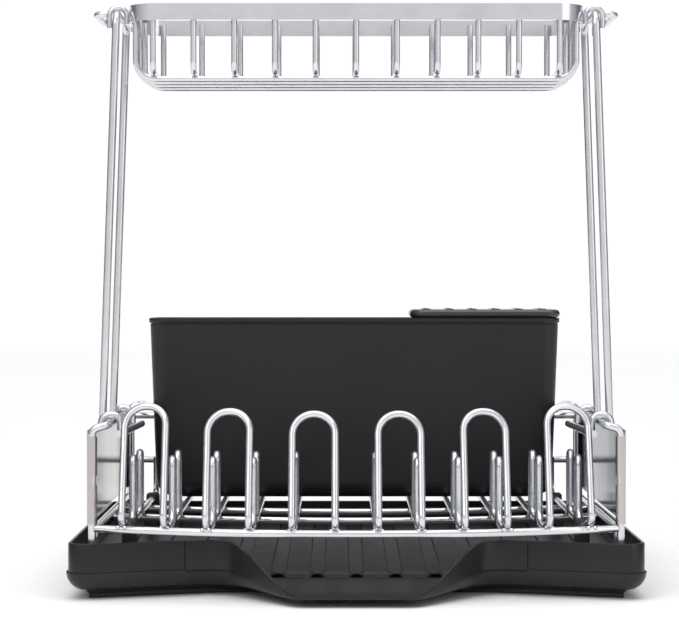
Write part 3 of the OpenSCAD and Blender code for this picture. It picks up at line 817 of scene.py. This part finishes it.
def build_foot(low, high):
    """A rounded clip over the wire, on a wider round pad."""
    x, y = (low[0] + high[0]) / 2, (low[1] + high[1]) / 2
    pad_r = (high[0] - low[0]) / 2
    height = high[2] - low[2]
    pad = [(pad_r - 0.8 * MM, 0), (pad_r, 0.8 * MM), (pad_r, 6 * MM), (pad_r - 1 * MM, 7.4 * MM)]
    clip = [(0.6, 8.2 * MM), (0, 9.5 * MM)]
    clip += [(0, height - 2 * MM), (0.5, height - 0.7 * MM), (1.5, height)]

    def build(bm):
        rings = []
        for radius, z in pad:
            corners = (x - radius, y - radius), (x + radius, y + radius)
            rings.append(rounded_box_ring(*corners, radius * 0.98, low[2] + z, 8))
        for shrink, z in clip:
            half = FOOT_CLIP_HALF - shrink * MM
            corners = (x - half, y - half - 1.8 * MM), (x + half, y + half + 1.8 * MM)
            rings.append(rounded_box_ring(*corners, 2.5 * MM, low[2] + z, 8))
        bridge(bm, rings, closed=False)
    return build


def make_feet():
    for corner in ("front_left", "front_right", "rear_left", "rear_right"):
        node = "rack_foot_" + corner
        mesh = mesh_from(node, build_foot(*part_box(node)))
        foot = new_piece("foot_clip_" + corner, mesh, "rack", "foot_plastic")
        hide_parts(node)


# ---------------------------------------------------------------- weld beads

PLATE_WIRE_R = 2.8 * MM
RAIL_BEAD_R = 1.7 * MM
HOOK_BEAD_R = 1.5 * MM
SMOOTH_ALL = 180


def build_beads(places, radius):
    """Low uneven blobs of weld at the given places."""
    def build(bm):
        for place in places:
            stretch = [random.uniform(*span) for span in ((1.0, 1.35), (0.8, 1.0), (0.75, 0.95))]
            matrix = Matrix.Translation(place) @ Matrix.Diagonal((*stretch, 1))
            blob = bmesh.ops.create_icosphere(bm, subdivisions=3, radius=radius, matrix=matrix)
            for vert in blob["verts"]:
                vert.co += (vert.co - place) * 0.12 * math.sin(900 * vert.co.x + 700 * vert.co.z)
    return build


def make_weld_beads():
    """Beads where plate wires cross the front rail, and where saddle hooks meet the legs."""
    rail_low, rail_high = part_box("front_rail")
    rail_z = (rail_low[2] + rail_high[2]) / 2
    places = []
    for number in range(1, 7):
        low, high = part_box(f"plate_wire_{number}")
        for x in (low[0] + PLATE_WIRE_R, high[0] - PLATE_WIRE_R):
            for side in (-2.4, 2.4):
                places.append(Vector((x + side * MM, low[1] + 9.2 * MM, rail_z + 2.6 * MM)))
    beads = mesh_from("rail_beads", build_beads(places, RAIL_BEAD_R), SMOOTH_ALL)
    new_piece("front_rail_beads", beads, "rack", "frame_paint")
    for side in ("left", "right"):
        places = []
        for end, toward_leg in (("front", -1), ("rear", 1)):
            low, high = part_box(f"saddle_hook_{end}_{side}")
            edge = high[1] if end == "front" else low[1]
            outside = low[0] + 3 * MM if side == "left" else high[0] - 3 * MM
            for z in (4.5, 8.5):
                places.append(Vector((outside, edge + toward_leg * 0.2 * MM, low[2] + z * MM)))
        beads = mesh_from(f"hook_beads_{side}", build_beads(places, HOOK_BEAD_R), SMOOTH_ALL)
        new_piece(f"saddle_beads_{side}", beads, f"upright_{side}_body", "frame_paint")


# ---------------------------------------------------------------- stage

def make_floor():
    bpy.ops.mesh.primitive_plane_add(size=12, location=(0, 0, 0))
    floor = bpy.context.object
    floor.name = "studio_floor"
    floor.data.materials.append(pale_floor())


def level_ramp(tree, factor, stops):
    """A colour ramp of neutral light levels, given as pairs of position and level."""
    node = tree.nodes.new("ShaderNodeValToRGB")
    elements = node.color_ramp.elements
    for position, _ in stops[1:-1]:
        elements.new(position)
    for element, (position, level) in zip(elements, stops):
        element.position = position
        element.color = (level, level, level * 1.01, 1)
    tree.links.new(factor, node.inputs["Fac"])
    return node.outputs["Color"]


def make_world():
    """A studio that is bright in front, dark at the sides and white in a narrow cone behind.

    The wires mirror it, while the camera sees a plain white backdrop.
    """
    world = bpy.data.worlds.new("studio")
    scene.world = world
    world.use_nodes = True
    tree = world.node_tree
    background = tree.nodes["Background"]
    direction = split(tree, tree.nodes.new("ShaderNodeTexCoord").outputs["Generated"])
    facing = map_range(tree, direction["Y"], 0.0, 1.0)
    facing.node.inputs["From Min"].default_value = -1
    around = level_ramp(tree, facing, [
        (0, 0.78), (0.12, 0.75), (0.35, 0.5), (0.5, 0.36),
        (0.62, 0.06), (0.955, 0.06),
        (0.984, 1.02), (1, 1.02),
    ])
    above = ramp(tree, direction["Z"], (0, 0, 0), (0.8, 0.8, 0.8), 0.3, 0.9)
    tree.links.new(mix_colours(tree, 1, around, above, "LIGHTEN"), background.inputs["Color"])
    backdrop = tree.nodes.new("ShaderNodeBackground")
    backdrop.inputs["Color"].default_value = (1.02, 1.02, 1.02, 1)
    seen = tree.nodes.new("ShaderNodeMixShader")
    camera_ray = tree.nodes.new("ShaderNodeLightPath").outputs["Is Camera Ray"]
    for i, output in enumerate((camera_ray, background.outputs[0], backdrop.outputs[0])):
        tree.links.new(output, seen.inputs[i])
    tree.links.new(seen.outputs["Shader"], tree.nodes["World Output"].inputs["Surface"])


def area_light(name, location, size, power):
    """A rectangular light that points at the rack."""
    data = bpy.data.lights.new(name, "AREA")
    data.shape = "RECTANGLE"
    data.size, data.size_y = size
    data.energy = power
    light = bpy.data.objects.new(name, data)
    scene.collection.objects.link(light)
    light.location = location
    toward = Vector((0, 0, 0.15)) - Vector(location)
    light.rotation_euler = toward.to_track_quat("-Z", "Y").to_euler()


def make_lights():
    area_light("key", (-1.2, -1.6, 1.9), (1.8, 1.8), 14)
    area_light("fill", (1.6, -1.3, 0.9), (1.0, 1.4), 4)
    sun = bpy.data.lights.new("ceiling", "SUN")
    sun.energy = 1.75
    sun.angle = math.radians(60)
    lamp = bpy.data.objects.new("ceiling", sun)
    scene.collection.objects.link(lamp)
    lamp.rotation_euler = (math.radians(8), 0, 0)


def make_camera():
    """Eye-level front view from 1.65 m in front of the posts, a little left of the middle."""
    data = bpy.data.cameras.new("camera")
    data.sensor_width = 36
    data.lens = 113.8
    data.clip_start, data.clip_end = 0.05, 50
    camera = bpy.data.objects.new("camera", data)
    scene.collection.objects.link(camera)
    camera.location = (-0.013, -1.78, 0.241)
    camera.rotation_euler = (math.radians(90 - 0.895), 0, 0)
    scene.camera = camera


dress_cad_nodes()
make_tray()
make_caddy()
make_knife_insert()
make_feet()
make_weld_beads()
make_floor()
make_world()
make_lights()
make_camera()
scene.view_settings.view_transform = "Standard"
